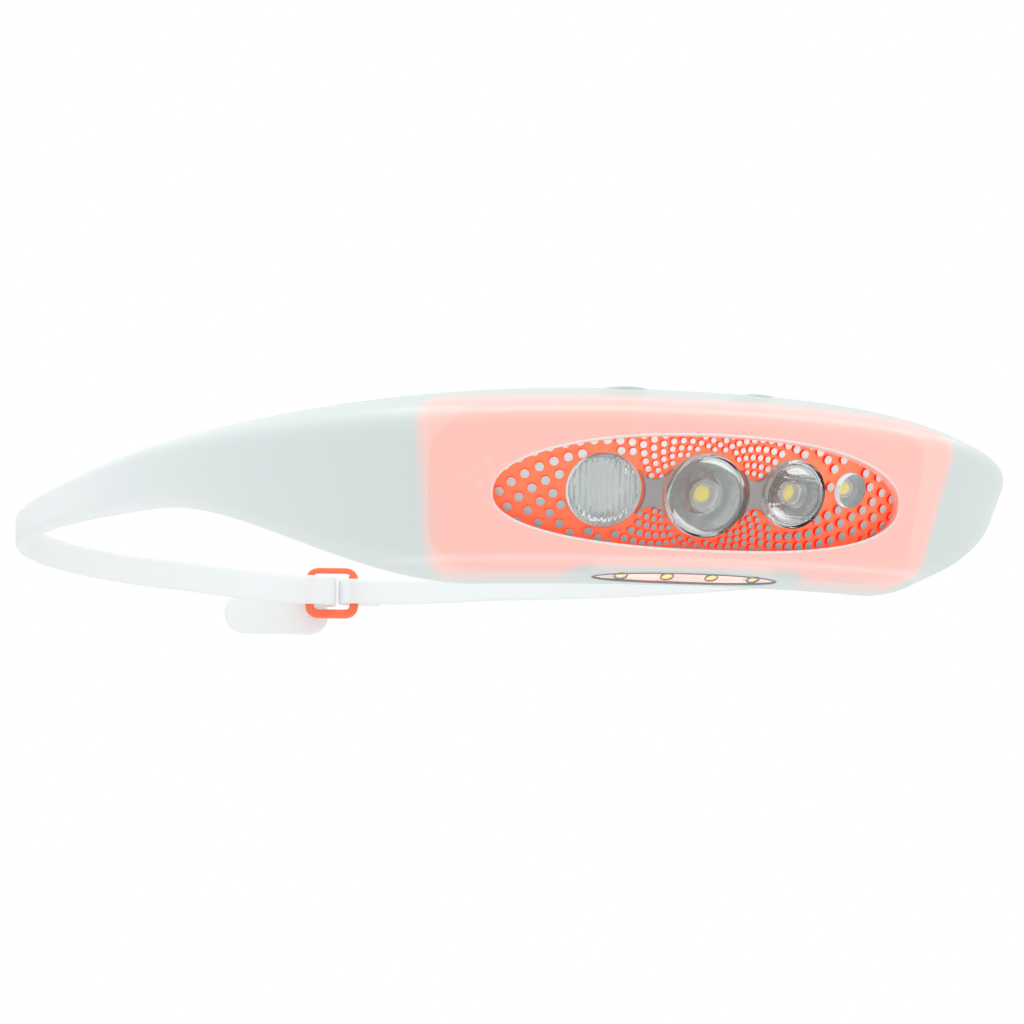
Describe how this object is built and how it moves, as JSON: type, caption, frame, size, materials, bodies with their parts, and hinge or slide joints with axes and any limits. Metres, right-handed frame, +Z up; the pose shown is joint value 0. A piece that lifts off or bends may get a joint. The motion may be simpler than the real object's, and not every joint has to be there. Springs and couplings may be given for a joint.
{
  "type": "headlamp",
  "caption": "Headlamp with a one-piece translucent silicone headband that sleeves a slim curved lamp core with front beams and a down light.",
  "frame": {"origin": "middle of the head opening, at the strap's mid height", "axes": "+Z up, the lamp faces -Y, +X to the right seen from the front"},
  "size_m": [0.1773, 0.2245, 0.0291],
  "materials": {
    "frosted_silicone": "translucent white silicone, satin",
    "orange_plastic": "satin moulded nylon",
    "coral_plastic": "matte moulded",
    "orange_plate": "matte with a field of light dots",
    "seal_rubber": "matte",
    "steel_screw": "plated",
    "clear_optic": "clear, polished",
    "circuit_board": "white solder mask",
    "ribbon_film": "amber film",
    "led_package": "yellow phosphor in a white frame",
    "switch_black": "moulded",
    "socket_steel": "drawn",
    "cell_foil": "pouch foil",
    "lead_sleeve": "smooth"
  },
  "bodies": {
    "headband": {"silicone_headband": "frosted_silicone"},
    "mode_pad": {"mode_button_pad": "frosted_silicone"},
    "power_pad": {"power_button_pad": "frosted_silicone"},
    "buckle": {"buckle_ring": "orange_plastic"},
    "core": {"front_case": "coral_plastic", "back_cover": "coral_plastic", "faceplate": "orange_plate", "case_seal": "seal_rubber", "cover_screws": "steel_screw", "triple_lens": "clear_optic", "small_lens": "clear_optic", "down_light_window": "clear_optic", "led_board": "circuit_board", "main_board": "circuit_board", "down_light_board": "circuit_board", "board_ribbon": "ribbon_film", "flood_led": "led_package", "spot_led": "led_package", "reading_led": "led_package", "small_led": "led_package", "down_light_leds": "led_package", "mode_switch": "switch_black", "power_switch": "switch_black", "charge_socket_shell": "socket_steel", "charge_socket_tongue": "switch_black", "left_battery_cell": "cell_foil", "right_battery_cell": "cell_foil", "battery_leads": "lead_sleeve"},
    "mode_button": {"mode_plunger": "orange_plastic", "mode_switch_stem": "switch_black"},
    "power_button": {"power_plunger": "orange_plastic", "power_switch_stem": "switch_black"}
  },
  "joints": [
    {"name": "core_slide", "type": "slide", "parent": "headband", "child": "core", "axis": [0, 1, 0], "range_m": [0, 0.024]},
    {"name": "buckle_swing", "type": "hinge", "parent": "headband", "child": "buckle", "pos_m": [0.00015, 0.10221, -0.00125], "axis": [0, 0, 1], "range_deg": [-5, 5]},
    {"name": "mode_pad_press", "type": "slide", "parent": "headband", "child": "mode_pad", "axis": [0, 0, -1], "range_m": [0, 0.0006], "stiffness_N_per_m": 2500},
    {"name": "power_pad_press", "type": "slide", "parent": "headband", "child": "power_pad", "axis": [0, 0, -1], "range_m": [0, 0.0006], "stiffness_N_per_m": 2500},
    {"name": "mode_button_press", "type": "slide", "parent": "core", "child": "mode_button", "axis": [0, 0, -1], "range_m": [0, 0.0006], "stiffness_N_per_m": 500},
    {"name": "power_button_press", "type": "slide", "parent": "core", "child": "power_button", "axis": [0, 0, -1], "range_m": [0, 0.0006], "stiffness_N_per_m": 500}
  ],
  "couplings": [
    {"joint": "mode_button_press", "follows": "mode_pad_press", "ratio": 1},
    {"joint": "power_button_press", "follows": "power_pad_press", "ratio": 1}
  ]
}
